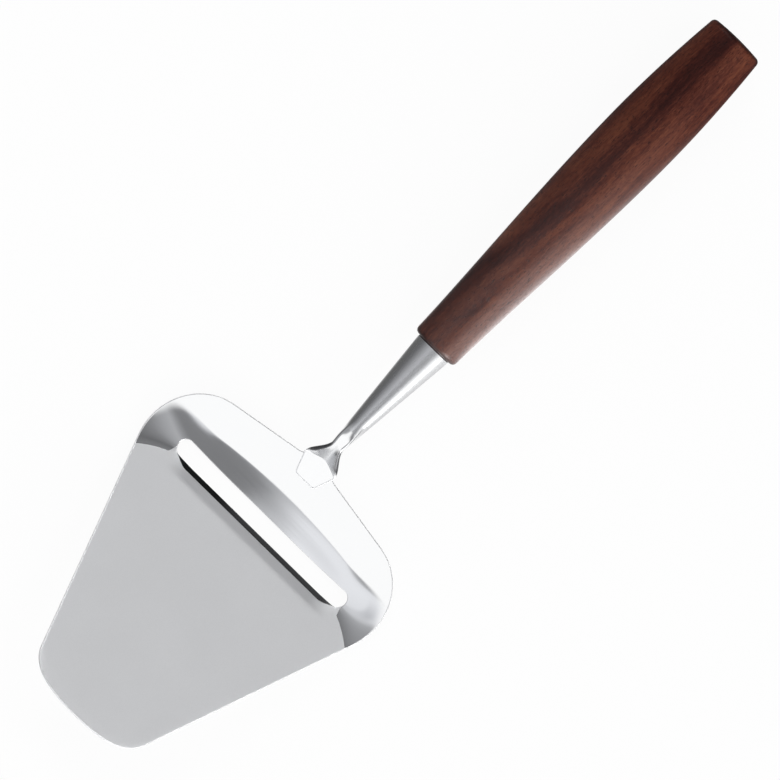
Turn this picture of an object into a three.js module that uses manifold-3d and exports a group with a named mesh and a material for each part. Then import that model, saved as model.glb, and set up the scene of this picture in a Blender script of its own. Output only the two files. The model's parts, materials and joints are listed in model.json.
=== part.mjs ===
// A hand slicer for cheese: a pressed steel blade with a cutting slot, a forged stem welded on the
// blade's tail, and a turned wooden handle glued on the stem's tang.
//
// The blade is drawn in the frame of its flat plate: X runs from the tip towards the handle, Y across,
// and Z up from the middle of the sheet. The stem and the handle share a second frame, whose X axis
// lies along the blade's tail and is turned up from the plate by the crank angle. The whole slicer is
// then laid down as it rests on a table, on the blade's heel and on the belly of the handle.

import * as THREE from "three";
import { mergeVertices } from "three/addons/utils/BufferGeometryUtils.js";
import Module from "manifold-3d";

const { degToRad, lerp, smoothstep } = THREE.MathUtils;

// Driving dimensions, in millimetres and degrees.

// Outline of the blade, measured from the tip in the plane of the plate.
const tipHalfWidth = 15.7;
const tipEdgeReach = 12.5;
const tipCornerLength = 7.5;
const tipCornerReach = 4.6;
const sideFlare = 19.1;
const shoulderRadius = 15.5;
const rearEdgeX = 90.3;
const rearEdgeLean = 8.9;
const rootFillet = 2;
const tongueHalfWidth = 4.4;
const tongueLength = 9;
const tongueCornerRadius = 2;

// Pressed form of the sheet: the plate, a ramp behind a curved crease, and the tail.
const sheetThickness = 1.2;
const crankAngle = 20;
const creaseX = 70.7;
const creaseSweep = 10;
const rampEndX = 79.5;
const rampSweep = 4;
const rampTurn = 2.2;
const rampTurnStart = 0.56;
const rampRise = 5.3;

// Cutting slot, its lip bent down a little, and the bevel ground on the lip.
const cuttingEdgeX = 68.8;
const slotWidth = 4.4;
const slotLength = 58.8;
const lipLength = 5.4;
const lipBend = 1.4;
const lipAngle = 7;
const lipFade = 5;
const bevelAngle = 29;
const bevelRunOut = 6;
const edgeLand = 0.15;

// Stem, measured from the front end of its foot along the tail.
const footFrontX = 84.9;
const footEndHalfWidth = 3.2;
const footHalfWidth = 5.25;
const footCornerX = 5.6;
const footThickness = 1.4;
const webX = 6;
const neckX = 12.4;
const neckEndX = 17.5;
const roundX = 20.5;
const neckHalfWidth = 1.85;
const neckHalfHeight = 2.7;
const stemLength = 46.8;
const stemEndRadius = 5.15;
const stemChamfer = 0.4;

// Tang inside the handle.
const tangRadius = 2.5;
const tangLength = 76;
const tangChamfer = 1;
const grooveCount = 6;
const groovePitch = 10;
const grooveWidth = 2;
const grooveDepth = 0.4;

// Handle, measured from its front face.
const handleLength = 110;
const handleFrontRadius = 6.75;
const handleRimRadius = 1.6;
const bellyX = 76;
const bellyRadius = 9.7;
const buttRadius = 8.1;
const buttCornerRadius = 1.7;
const buttCrown = 0.3;
const frontSwell = 0.25;
const fallStart = 0.4;
const fallEnd = 0.8;
const fallFullness = 0.4;
const boreSpareDepth = 2;
const glueWall = 0.6;

// Spot welds between the foot and the tail, measured along the foot.
const weldRadius = 1.5;
const frontWeldX = 2.3;
const rearWeldX = 6.1;
const footPocketDepth = 0.7;
const tailPocketDepth = 0.6;

// Clearances between pieces.
const seatGap = 0.3;
const weldGap = 0.3;
const glueGap = 0.3;
const shoulderGap = 0.3;

// Fineness of the faceted surfaces.
const arcSteps = 7;
const sheetColumns = 20;
const rampStep = 0.9;
const leastStep = 0.3;
const stemSides = 28;
const roundSides = 40;
const weldSides = 20;
const footSteps = 2;
const fanSteps = 1;
const webSteps = 12;
const neckSteps = 5;
const taperSteps = 4;
const mergeDistance = 1e-4;
const tiltHalvings = 40;

const crank = degToRad(crankAngle);
const half = sheetThickness / 2;

const wasm = await Module();
wasm.setup();

// A closed geometry as a solid that can be joined and cut.
function solidOf(geometry) {
  const bare = geometry.clone();
  bare.deleteAttribute("normal");
  bare.deleteAttribute("uv");
  const merged = mergeVertices(bare, mergeDistance);
  const vertProperties = new Float32Array(merged.attributes.position.array);
  const triVerts = new Uint32Array(merged.index.array);
  return new wasm.Manifold(new wasm.Mesh({ numProp: 3, vertProperties, triVerts }));
}

// A solid back as a geometry.
function geometryOf(solid) {
  const mesh = solid.getMesh();
  const geometry = new THREE.BufferGeometry();
  geometry.setAttribute("position", new THREE.BufferAttribute(mesh.vertProperties, 3));
  geometry.setIndex(new THREE.BufferAttribute(mesh.triVerts, 1));
  geometry.computeVertexNormals();
  return geometry;
}

// A skin over rings of equal count, closed at both ends by a fan round each end ring's middle.
function loft(rings) {
  const count = rings[0].length;
  const points = rings.flat();
  const triangles = [];
  for (let i = 0; i + 1 < rings.length; i++) {
    for (let j = 0; j < count; j++) {
      const a = i * count + j;
      const b = i * count + ((j + 1) % count);
      triangles.push(a, b, a + count, b, b + count, a + count);
    }
  }
  const middle = (ring) =>
    ring.reduce((sum, point) => sum.add(point), new THREE.Vector3()).divideScalar(count);
  const first = points.push(middle(rings[0])) - 1;
  const last = points.push(middle(rings.at(-1))) - 1;
  const lastRing = (rings.length - 1) * count;
  for (let j = 0; j < count; j++) {
    const next = (j + 1) % count;
    triangles.push(first, next, j, last, lastRing + j, lastRing + next);
  }
  return new THREE.BufferGeometry().setFromPoints(points).setIndex(triangles);
}

// A turned solid along X from a profile of radii and lengths.
function turnedAlongX(profile, sides) {
  return new THREE.LatheGeometry(profile, sides).rotateZ(-Math.PI / 2);
}

// A line to a corner rounded by an arc, ready to go on towards the next point.
function lineToRounded(path, corner, next, radius) {
  const arriving = corner.clone().sub(path.currentPoint).normalize();
  const leaving = next.clone().sub(corner).normalize();
  const turn = arriving.cross(leaving);
  const reach = radius * Math.tan(arriving.angleTo(leaving) / 2);
  const start = corner.clone().addScaledVector(arriving, -reach);
  const inward = new THREE.Vector2(-arriving.y, arriving.x).multiplyScalar(Math.sign(turn));
  const centre = start.clone().addScaledVector(inward, radius);
  const end = corner.clone().addScaledVector(leaving, reach);
  const startAngle = start.clone().sub(centre).angle();
  const endAngle = end.clone().sub(centre).angle();
  path.lineTo(start.x, start.y);
  path.absarc(centre.x, centre.y, radius, startAngle, endAngle, turn < 0);
}

// One side of the blade's outline as points of distance from the tip and half width. The tip is a
// soft-cornered edge, the sides flare out straight to a round shoulder, the rear edge leans back to
// the middle, and a tongue runs on under the foot of the stem.
function bladeOutline() {
  const flare = degToRad(sideFlare);
  const lean = degToRad(rearEdgeLean);
  const onSide = (x) => tipHalfWidth + x * Math.tan(flare);
  const onRear = (y) => rearEdgeX - y * Math.tan(lean);
  const tongueEndX = footFrontX + tongueLength * Math.cos(crank);
  const shoulderY = onSide(rearEdgeX) / (1 + Math.tan(flare) * Math.tan(lean));
  const shoulder = new THREE.Vector2(onRear(shoulderY), shoulderY);
  const root = new THREE.Vector2(onRear(tongueHalfWidth), tongueHalfWidth);
  const tongueCorner = new THREE.Vector2(tongueEndX, tongueHalfWidth);
  const tongueEnd = new THREE.Vector2(tongueEndX, 0);
  const path = new THREE.Path();
  path.moveTo(0, 0);
  path.bezierCurveTo(
    0,
    tipEdgeReach,
    tipCornerLength - tipCornerReach * Math.cos(flare),
    onSide(tipCornerLength) - tipCornerReach * Math.sin(flare),
    tipCornerLength,
    onSide(tipCornerLength),
  );
  lineToRounded(path, shoulder, root, shoulderRadius);
  lineToRounded(path, root, tongueCorner, rootFillet);
  lineToRounded(path, tongueCorner, tongueEnd, tongueCornerRadius);
  return path.getPoints(arcSteps);
}

const outline = bladeOutline();
const bladeHalfWidth = Math.max(...outline.map((point) => point.y));

// Half width of the blade at a distance from the tip, between two points of its outline.
function halfWidthAt(x) {
  const i = outline.findIndex((point, index) => index > 0 && point.x >= x);
  const [from, to] = [outline[i - 1], outline[i]];
  return lerp(from.y, to.y, (x - from.x) / (to.x - from.x));
}

// How far the cutting lip is bent down: nothing up to the bend, a soft bend, then a straight slope to
// the cutting edge. It fades out towards the ends of the slot.
function lipDrop(x, y) {
  const past = x - (cuttingEdgeX - lipLength);
  const slope = past < lipBend ? Math.max(past, 0) ** 2 / (2 * lipBend) : past - lipBend / 2;
  const inSlot = 1 - smoothstep(x, cuttingEdgeX, cuttingEdgeX + slotWidth);
  const alongSlot = 1 - smoothstep(Math.abs(y), slotLength / 2 - lipFade, slotLength / 2);
  return slope * Math.tan(degToRad(lipAngle)) * inSlot * alongSlot;
}

// Height of the tail above the plane of the plate.
function tailHeight(x) {
  return rampRise + (x - rampEndX) * Math.tan(crank);
}

// Height of the middle of the sheet above the plane of the plate. The ramp is a cubic that leaves the
// plate level at the crease and meets the tail at its slope. The crease and the end of the ramp sweep
// towards the tip at the sides, and at the rim the end turns back, so the ramp runs out wide and soft.
function sheetHeight(x, y) {
  const across = Math.abs(y) / bladeHalfWidth;
  const crease = creaseX - creaseSweep * across ** 4;
  const turned = rampTurn * smoothstep(across, rampTurnStart, 1);
  const end = rampEndX - rampSweep * across ** 2 + turned;
  if (x >= end) return tailHeight(x);
  const u = Math.max(x - crease, 0) / (end - crease);
  const rise = tailHeight(end) * u * u * (3 - 2 * u);
  const tilt = (end - crease) * Math.tan(crank) * u * u * (u - 1);
  return rise + tilt - lipDrop(x, y);
}

// The point of the pressed sheet at a place of its plan, raised square to the sheet.
function sheetPoint(x, y, raised) {
  const step = 0.01;
  const slopeX = (sheetHeight(x + step, y) - sheetHeight(x - step, y)) / (2 * step);
  const slopeY = (sheetHeight(x, y + step) - sheetHeight(x, y - step)) / (2 * step);
  const normal = new THREE.Vector3(-slopeX, -slopeY, 1).normalize();
  return new THREE.Vector3(x, y, sheetHeight(x, y)).addScaledVector(normal, raised);
}

// A solid that follows the pressed sheet between two levels, from the half width at each station.
function pressedSolid(stations, halfWidth, lower, upper) {
  const columns = Array.from({ length: sheetColumns + 1 }, (_, j) => (2 * j) / sheetColumns - 1);
  const rings = stations.map((x) => [
    ...columns.map((v) => sheetPoint(x, -v * halfWidth(x), upper)),
    ...columns.map((v) => sheetPoint(x, v * halfWidth(x), lower)),
  ]);
  return solidOf(loft(rings));
}

// Stations from the tip to the end of the tongue: the points of the outline, and close steps over the
// lip and the ramp, none closer together than the least step.
function bladeStations() {
  const [start, ...others] = outline.slice(1).map((point) => point.x);
  const end = others.pop();
  const rampSteps = Math.ceil((rampEndX - creaseX + creaseSweep) / rampStep);
  for (let i = 0; i <= rampSteps; i++) others.push(rampEndX - i * rampStep);
  const stations = [start];
  for (const x of others.sort((a, b) => a - b)) {
    if (x - stations.at(-1) > leastStep && end - x > leastStep) stations.push(x);
  }
  return [...stations, end];
}

// The slot: a long hole with round ends, punched square to the sheet from the cutting edge back.
function slotCutter() {
  const radius = slotWidth / 2;
  const straight = slotLength / 2 - radius;
  const angles = Array.from({ length: arcSteps + 1 }, (_, i) => (Math.PI * i) / arcSteps);
  const stations = angles.map((angle) => cuttingEdgeX + radius * (1 - Math.cos(angle)));
  const middleX = cuttingEdgeX + radius;
  const halfWidth = (x) => straight + Math.sqrt(Math.max(radius ** 2 - (x - middleX) ** 2, 0));
  return pressedSolid(stations, halfWidth, -sheetThickness, sheetThickness);
}

// The grinding cut that leaves the bevel: all that lies above a slope through the cutting edge. Towards
// the ends of the slot the slope draws back out of the metal, so that the bevel runs out to a point.
function bevelCutter() {
  const lipZ = lipDrop(cuttingEdgeX, 0);
  const bottom = -half - lipZ + edgeLand;
  const top = sheetThickness;
  const cotangent = 1 / Math.tan(degToRad(bevelAngle));
  const drawnOut = (half - bottom) * cotangent;
  const backX = cuttingEdgeX + drawnOut + slotWidth / 4;
  const section = (y, drawnBack) => [
    new THREE.Vector3(cuttingEdgeX + drawnBack, y, bottom),
    new THREE.Vector3(cuttingEdgeX + drawnBack - (top - bottom) * cotangent, y, top),
    new THREE.Vector3(backX, y, top),
    new THREE.Vector3(backX, y, bottom),
  ];
  const end = slotLength / 2;
  const full = end - bevelRunOut;
  const rings = [section(-end, drawnOut), section(-full, 0), section(full, 0), section(end, drawnOut)];
  return solidOf(loft(rings));
}

// A round pocket for a spot weld, in the frame of the stem, between two levels above the tail.
function weldPocket(x, lower, upper) {
  const radius = weldRadius + weldGap;
  const pocket = new THREE.CylinderGeometry(radius, radius, upper - lower, weldSides);
  return pocket.rotateX(Math.PI / 2).translate(x, 0, (upper + lower) / 2);
}

// Levels above the middle of the tail's sheet, in the frame of the stem.
const tailTop = half;
const footBottom = tailTop + seatGap;
const footTop = footBottom + footThickness;
const axisZ = footBottom + neckHalfHeight;
const weldBottom = tailTop - tailPocketDepth + weldGap;
const weldTop = footBottom + footPocketDepth - weldGap;

// The frame of the stem and the handle, on the middle of the tail's sheet at the front of the foot.
const grip = new THREE.Group();
grip.position.set(footFrontX, 0, tailHeight(footFrontX));
grip.rotation.y = -crank;
grip.updateMatrix();

function bladeGeometry() {
  let blade = pressedSolid(bladeStations(), halfWidthAt, -half, half);
  blade = blade.subtract(slotCutter()).subtract(bevelCutter());
  for (const x of [frontWeldX, rearWeldX]) {
    const pocket = weldPocket(x, tailTop - tailPocketDepth, footTop).applyMatrix4(grip.matrix);
    blade = blade.subtract(solidOf(pocket));
  }
  return geometryOf(blade);
}

// Half width of the stem: a hexagonal foot, hollow-curved sides down to the neck, then a taper.
function stemHalfWidth(x) {
  if (x < footCornerX) return lerp(footEndHalfWidth, footHalfWidth, x / footCornerX);
  if (x > neckX) return lerp(neckHalfWidth, stemEndRadius, (x - neckX) / (stemLength - neckX));
  return lerp(footHalfWidth, neckHalfWidth, smoothstep(x, footCornerX, neckX));
}

// Half height of the stem: level along the neck, where it is taller than wide, and round at the handle.
function taperHalfHeight(x) {
  return lerp(neckHalfHeight, stemEndRadius, Math.max(x - neckEndX, 0) / (stemLength - neckEndX));
}

// A section of the stem: a rounded rectangle in foot, web and neck that turns into an ellipse past them.
// The web climbs from the foot to the neck, and a level neck leads into the taper.
function stemRing(x, inset) {
  const flatCornerPower = 9;
  const toNeck = smoothstep(x, webX, neckX);
  const toRound = smoothstep(x, neckX, roundX);
  const power = 2 / lerp(flatCornerPower, 2, toRound);
  const top = lerp(footTop, axisZ + taperHalfHeight(x), toNeck);
  const bottom = axisZ - taperHalfHeight(x);
  const halfWidth = stemHalfWidth(x) - inset;
  const halfHeight = (top - bottom) / 2 - inset;
  return Array.from({ length: stemSides }, (_, j) => {
    const angle = (2 * Math.PI * (j + 0.5)) / stemSides;
    const [c, s] = [Math.cos(angle), Math.sin(angle)];
    const y = Math.sign(c) * Math.abs(c) ** power * halfWidth;
    const z = Math.sign(s) * Math.abs(s) ** power * halfHeight;
    return new THREE.Vector3(x, y, (top + bottom) / 2 + z);
  });
}

// The tang: a rod with shallow grooves all round, which the glue keys into.
function tangProfile() {
  const points = [
    new THREE.Vector2(0, stemLength - stemEndRadius),
    new THREE.Vector2(tangRadius, stemLength - stemEndRadius),
  ];
  const firstGroove = stemLength + tangLength - grooveCount * groovePitch;
  for (let i = 0; i < grooveCount; i++) {
    const x = firstGroove + i * groovePitch;
    points.push(new THREE.Vector2(tangRadius, x));
    points.push(new THREE.Vector2(tangRadius - grooveDepth, x + grooveDepth));
    points.push(new THREE.Vector2(tangRadius - grooveDepth, x + grooveWidth - grooveDepth));
    points.push(new THREE.Vector2(tangRadius, x + grooveWidth));
  }
  const end = stemLength + tangLength;
  points.push(new THREE.Vector2(tangRadius, end - tangChamfer));
  points.push(new THREE.Vector2(tangRadius - tangChamfer, end));
  points.push(new THREE.Vector2(0, end));
  return points;
}

function stemGeometry() {
  const spread = (from, to, steps) =>
    Array.from({ length: steps }, (_, i) => lerp(from, to, i / steps));
  const stations = [
    ...spread(0, footCornerX, footSteps),
    ...spread(footCornerX, webX, fanSteps),
    ...spread(webX, neckX, webSteps),
    ...spread(neckX, roundX, neckSteps),
    ...spread(roundX, stemLength - stemChamfer, taperSteps),
  ];
  const rings = stations.map((x) => stemRing(x, 0));
  rings.push(stemRing(stemLength - stemChamfer, 0), stemRing(stemLength, stemChamfer));
  const tang = turnedAlongX(tangProfile(), stemSides).translate(0, 0, axisZ);
  let stem = solidOf(loft(rings)).add(solidOf(tang));
  for (const x of [frontWeldX, rearWeldX]) {
    stem = stem.subtract(solidOf(weldPocket(x, tailTop, footBottom + footPocketDepth)));
  }
  return geometryOf(stem);
}

// A weld nugget: a lens of fused metal across the seam between foot and tail.
function weldGeometry(x) {
  const thickness = weldTop - weldBottom;
  const lens = new THREE.EllipseCurve(0, 0, weldRadius, thickness / 2, -Math.PI / 2, Math.PI / 2);
  const profile = lens.getPoints(arcSteps);
  profile.forEach((point) => point.setX(Math.max(point.x, 0)));
  const nugget = new THREE.LatheGeometry(profile, weldSides).rotateX(Math.PI / 2);
  return nugget.translate(x, 0, (weldTop + weldBottom) / 2);
}

const glueInnerRadius = tangRadius + glueGap;
const glueOuterRadius = glueInnerRadius + glueWall;
const boreRadius = glueOuterRadius + glueGap;
const handleFrontX = stemLength + shoulderGap;

// The turned handle: a rounded front rim, a long swelling to the belly, a shorter fall to the butt, and
// the bore for the tang, open at the front.
function handleGeometry() {
  const boreEnd = tangLength - shoulderGap + boreSpareDepth;
  const buttX = handleLength - buttCrown - buttCornerRadius;
  const path = new THREE.Path();
  path.moveTo(0, boreEnd);
  path.lineTo(boreRadius, boreEnd);
  path.lineTo(boreRadius, 0);
  path.lineTo(handleFrontRadius - handleRimRadius, 0);
  path.quadraticCurveTo(handleFrontRadius, 0, handleFrontRadius, handleRimRadius);
  path.bezierCurveTo(
    lerp(handleFrontRadius, bellyRadius, frontSwell),
    bellyX / 3,
    bellyRadius,
    (2 * bellyX) / 3,
    bellyRadius,
    bellyX,
  );
  path.bezierCurveTo(
    bellyRadius,
    lerp(bellyX, buttX, fallStart),
    lerp(buttRadius, bellyRadius, fallFullness),
    lerp(bellyX, buttX, fallEnd),
    buttRadius,
    buttX,
  );
  const buttFlat = buttRadius - buttCornerRadius;
  path.quadraticCurveTo(buttRadius, buttX + buttCornerRadius, buttFlat, buttX + buttCornerRadius);
  path.quadraticCurveTo(buttFlat / 2, handleLength, 0, handleLength);
  const handle = turnedAlongX(path.getPoints(arcSteps), roundSides);
  return handle.translate(handleFrontX, 0, axisZ);
}

// The sleeve of cured glue round the tang, from just inside the bore to the end of the tang.
function glueGeometry() {
  const start = handleFrontX + glueGap;
  const end = stemLength + tangLength;
  const section = [
    new THREE.Vector2(glueInnerRadius, start),
    new THREE.Vector2(glueOuterRadius, start),
    new THREE.Vector2(glueOuterRadius, end),
    new THREE.Vector2(glueInnerRadius, end),
    new THREE.Vector2(glueInnerRadius, start),
  ];
  return turnedAlongX(section, stemSides).translate(0, 0, axisZ);
}

const satinSteel = new THREE.MeshStandardMaterial({ color: 0xbdbec0, roughness: 0.42, metalness: 1 });
const polishedSteel = new THREE.MeshStandardMaterial({ color: 0xd6d7d8, roughness: 0.12, metalness: 1 });
const weldSteel = new THREE.MeshStandardMaterial({ color: 0x8f8f90, roughness: 0.6, metalness: 1 });
const rosewood = new THREE.MeshStandardMaterial({ color: 0x55332b, roughness: 0.45, metalness: 0 });
const curedGlue = new THREE.MeshStandardMaterial({ color: 0xcdb98a, roughness: 0.5, metalness: 0 });

function named(name, geometry, material) {
  const mesh = new THREE.Mesh(geometry, material);
  mesh.name = name;
  return mesh;
}

const blade = named("blade", bladeGeometry(), satinSteel);
const handle = named("handle", handleGeometry(), rosewood);
grip.add(
  named("stem", stemGeometry(), polishedSteel),
  named("spot_weld_front", weldGeometry(frontWeldX), weldSteel),
  named("spot_weld_rear", weldGeometry(rearWeldX), weldSteel),
  named("tang_glue", glueGeometry(), curedGlue),
  handle,
);

const laidDown = new THREE.Group();
laidDown.add(blade, grip);

const slicer = new THREE.Group();
slicer.add(laidDown);

// How much higher the handle's lowest point lies than the blade's when the slicer is tilted.
function handleClearance(tilt) {
  laidDown.rotation.y = tilt;
  slicer.updateMatrixWorld(true);
  const lowest = (mesh) => new THREE.Box3().setFromObject(mesh, true).min.z;
  return lowest(handle) - lowest(blade);
}

// The tilt at which blade and handle touch the table together, found by halving.
function restTilt() {
  let [low, high] = [0, 2 * crank];
  for (let i = 0; i < tiltHalvings; i++) {
    const middle = (low + high) / 2;
    if (handleClearance(middle) > 0) low = middle;
    else high = middle;
  }
  return (low + high) / 2;
}

laidDown.rotation.y = restTilt();
slicer.updateMatrixWorld(true);
const extent = new THREE.Box3().setFromObject(laidDown, true);
laidDown.position.set(-(extent.min.x + extent.max.x) / 2, 0, -extent.min.z);

export default slicer;
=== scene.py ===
"""Looks of a hand cheese slicer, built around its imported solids.

The slicer's own sizes are in millimetres. The blade is worked out in the frame of its flat plate: X from
the tip towards the handle, Y across, Z up from the middle of the sheet. The stem and the handle are worked
out in the frame of the grip, which lies along the blade's tail. Meshes are written in metres.
"""

import json
import logging
import math
from collections.abc import Mapping, Sequence
from dataclasses import dataclass
from enum import Enum
from functools import cached_property
from typing import Any

import bpy
import numpy as np
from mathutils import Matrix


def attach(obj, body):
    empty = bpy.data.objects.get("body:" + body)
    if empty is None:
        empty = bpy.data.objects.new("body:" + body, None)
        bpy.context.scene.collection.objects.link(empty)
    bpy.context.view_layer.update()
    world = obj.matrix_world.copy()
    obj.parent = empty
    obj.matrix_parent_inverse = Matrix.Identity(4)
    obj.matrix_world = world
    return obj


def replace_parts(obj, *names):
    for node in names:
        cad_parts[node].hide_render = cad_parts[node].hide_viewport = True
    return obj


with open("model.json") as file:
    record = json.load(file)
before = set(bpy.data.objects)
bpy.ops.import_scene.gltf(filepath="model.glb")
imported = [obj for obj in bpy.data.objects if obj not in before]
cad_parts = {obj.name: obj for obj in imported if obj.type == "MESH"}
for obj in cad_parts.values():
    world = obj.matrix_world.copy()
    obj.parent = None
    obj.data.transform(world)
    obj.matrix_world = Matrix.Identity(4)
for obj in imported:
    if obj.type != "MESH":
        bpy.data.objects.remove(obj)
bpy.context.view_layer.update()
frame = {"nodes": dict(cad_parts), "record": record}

log = logging.getLogger("cheese_slicer")

Pair = tuple[float, float]
Triple = tuple[float, float, float]
Socket = bpy.types.NodeSocket

MM = 0.001
BODY = "root"
WHITE = (1.0, 1.0, 1.0, 1.0)


class Slot(str, Enum):
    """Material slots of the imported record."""

    BLADE = "blade_steel"
    STEM = "polished_steel"
    WOOD = "handle_wood"


class Finish(int, Enum):
    """Material slots on the blade's own mesh."""

    SHEET = 0
    GROUND = 1
    SHEARED = 2


def smoothstep(value: np.ndarray, low: float, high: float) -> np.ndarray:
    """Soft step from 0 at low to 1 at high: t squared times three minus two t.

    Args:
        value: numbers to step.
        low: where the step starts.
        high: where the step ends.

    Returns:
        The steps, one for each number.
    """
    t = np.clip((value - low) / (high - low), 0.0, 1.0)
    return t * t * (3.0 - 2.0 * t)


def lerp(start: Any, end: Any, share: Any) -> Any:
    """Straight blend of two values: start at share 0, end at share 1."""
    return start + (end - start) * share


def unit(vectors: np.ndarray) -> np.ndarray:
    """Vectors brought to length one along their last axis."""
    return vectors / np.linalg.norm(vectors, axis=-1, keepdims=True)


def curve(corners: Sequence[Sequence[float]], steps: int) -> np.ndarray:
    """Curve drawn towards its inner corners: corner k of n weighs (n over k) times (1-t)^(n-k) times t^k.

    Args:
        corners: start, one or more inner corners, and end.
        steps: number of steps along the curve.

    Returns:
        The points along the curve, both ends included.
    """
    t = np.linspace(0.0, 1.0, steps + 1)[:, None]
    n = len(corners) - 1
    weights = [math.comb(n, k) * (1 - t) ** (n - k) * t**k for k in range(n + 1)]
    return sum(weight * np.asarray(corner, float) for weight, corner in zip(weights, corners))


def round_corner(
    before: np.ndarray, corner: np.ndarray, after: np.ndarray, radius: float, steps: int
) -> np.ndarray:
    """Arc that touches both legs of a corner: start + r sin(a) along the leg + r (1 - cos(a)) inward.

    Args:
        before: a point on the arriving leg.
        corner: the sharp corner.
        after: a point on the leaving leg.
        radius: radius of the arc.
        steps: number of steps along the arc.

    Returns:
        The points of the arc, both ends included.
    """
    arriving = unit(corner - before)
    leaving = unit(after - corner)
    cross = arriving[0] * leaving[1] - arriving[1] * leaving[0]
    turn = math.atan2(cross, float(arriving @ leaving))
    start = corner - arriving * radius * math.tan(abs(turn) / 2)
    inward = math.copysign(1.0, turn) * np.array([-arriving[1], arriving[0]])
    angle = np.linspace(0.0, abs(turn), steps + 1)[:, None]
    return start + radius * (np.sin(angle) * arriving + (1 - np.cos(angle)) * inward)


def evenly(points: np.ndarray, count: int) -> np.ndarray:
    """Points at equal distances along a polyline, both ends included.

    Args:
        points: the polyline.
        count: number of points wanted.

    Returns:
        The new points.
    """
    reach = np.concatenate(([0.0], np.cumsum(np.linalg.norm(np.diff(points, axis=0), axis=1))))
    at = np.linspace(0.0, reach[-1], count)
    return np.stack([np.interp(at, reach, points[:, k]) for k in range(points.shape[1])], axis=-1)


def quarter(steps: int) -> np.ndarray:
    """Angles of a quarter turn in equal steps."""
    return np.linspace(0.0, math.pi / 2, steps + 1)


def turned(reach: np.ndarray, radius: np.ndarray, angle: np.ndarray, axis_z: float) -> np.ndarray:
    """Rings of a turned body: radius times cosine across, and radius times sine above the axis.

    Args:
        reach: distances along the axis.
        radius: radii at those distances.
        angle: angles of a ring's points.
        axis_z: height of the axis.

    Returns:
        Points by ring and angle.
    """
    x = reach[:, None] + 0 * angle
    r = radius[:, None]
    return np.stack([x, r * np.cos(angle), axis_z + r * np.sin(angle)], axis=-1)


def scaled(colour: Triple, share: float) -> Triple:
    """A colour with each part scaled by a share."""
    return tuple(share * part for part in colour)


@dataclass(frozen=True)
class LocalFrame:
    """A frame for sizes in millimetres, placed in the row frame in metres."""

    origin: np.ndarray
    axes: np.ndarray

    def to_row(self, points: np.ndarray) -> np.ndarray:
        """Points in millimetres of this frame as points in metres of the row frame."""
        return self.origin + MM * (points @ self.axes)

    def pitched(self, at: Sequence[float], angle: float) -> "LocalFrame":
        """A frame at a point of this one, with its X axis turned up by an angle.

        Args:
            at: the new origin, in millimetres of this frame.
            angle: how far X is turned towards Z, in radians.

        Returns:
            The new frame.
        """
        x, y, z = self.axes
        along = math.cos(angle) * x + math.sin(angle) * z
        up = math.cos(angle) * z - math.sin(angle) * x
        return LocalFrame(self.to_row(np.asarray(at, float)), np.array([along, y, up]))

    @property
    def pitch(self) -> float:
        """Angle of this frame's X axis above the floor, in radians."""
        return math.asin(float(self.axes[0][2]))


ROW = LocalFrame(np.zeros(3), np.eye(3))


class Skin:
    """Points and faces of one closed surface."""

    def __init__(self, points: np.ndarray, quads: np.ndarray, fans: np.ndarray | None = None) -> None:
        """Keeps the surface, with its faces turned outwards.

        Args:
            points: the points, in metres.
            quads: four point numbers for each quad.
            fans: three point numbers for each triangle at the poles.
        """
        self.points = points
        self.quads = quads
        self.fans = np.zeros((0, 3), int) if fans is None else fans
        if self.volume() < 0:
            self.quads = self.quads[:, ::-1]
            self.fans = self.fans[:, ::-1]

    def volume(self) -> float:
        """Enclosed volume: a sixth of the summed triple products of the triangles' corners."""
        q = self.quads
        triangles = np.concatenate([q[:, [0, 1, 2]], q[:, [0, 2, 3]], self.fans])
        a, b, c = (self.points[triangles[:, k]] for k in range(3))
        return float(np.einsum("ij,ij->i", a, np.cross(b, c)).sum() / 6)

    def piece(self, name: str, sharp_angle: float) -> bpy.types.Object:
        """The surface as a smooth-shaded object at the origin.

        Args:
            name: the piece's name.
            sharp_angle: edges that turn by more than this many degrees stay sharp.

        Returns:
            The linked object.
        """
        mesh = bpy.data.meshes.new(name)
        mesh.from_pydata(self.points, [], self.quads.tolist() + self.fans.tolist())
        mesh.validate()
        mesh.polygons.foreach_set("use_smooth", np.ones(len(mesh.polygons), bool))
        mesh.set_sharp_from_angle(angle=math.radians(sharp_angle))
        mesh.update()
        made = bpy.data.objects.new(name, mesh)
        bpy.context.scene.collection.objects.link(made)
        return made

    @staticmethod
    def grid(rows: int, columns: int, wrap_rows: bool) -> np.ndarray:
        """Quads of a grid whose columns run all the way round.

        Args:
            rows: number of rows of points.
            columns: number of points in a row.
            wrap_rows: whether the last row also joins the first.

        Returns:
            Four point numbers for each quad, row by row.
        """
        numbers = np.arange(rows * columns).reshape(rows, columns)
        ahead = np.roll(numbers, -1, axis=0)
        corners = [numbers, np.roll(numbers, -1, axis=1), np.roll(ahead, -1, axis=1), ahead]
        quads = np.stack(corners, axis=-1)
        return (quads if wrap_rows else quads[:-1]).reshape(-1, 4)

    @classmethod
    def loft(cls, rings: np.ndarray) -> "Skin":
        """Closed skin over rings, with a pole in the middle of the first and of the last ring.

        Args:
            rings: points by ring and place in the ring, in metres.

        Returns:
            The skin.
        """
        rows, columns = rings.shape[:2]
        poles = rings[[0, -1]].mean(axis=1)
        points = np.concatenate([rings.reshape(-1, 3), poles])
        first = np.arange(columns)
        last = (rows - 1) * columns + first
        pole_first = np.full(columns, rows * columns)
        front = np.stack([pole_first, np.roll(first, -1), first], axis=-1)
        back = np.stack([pole_first + 1, last, np.roll(last, -1)], axis=-1)
        return cls(points, cls.grid(rows, columns, False), np.concatenate([front, back]))


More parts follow.
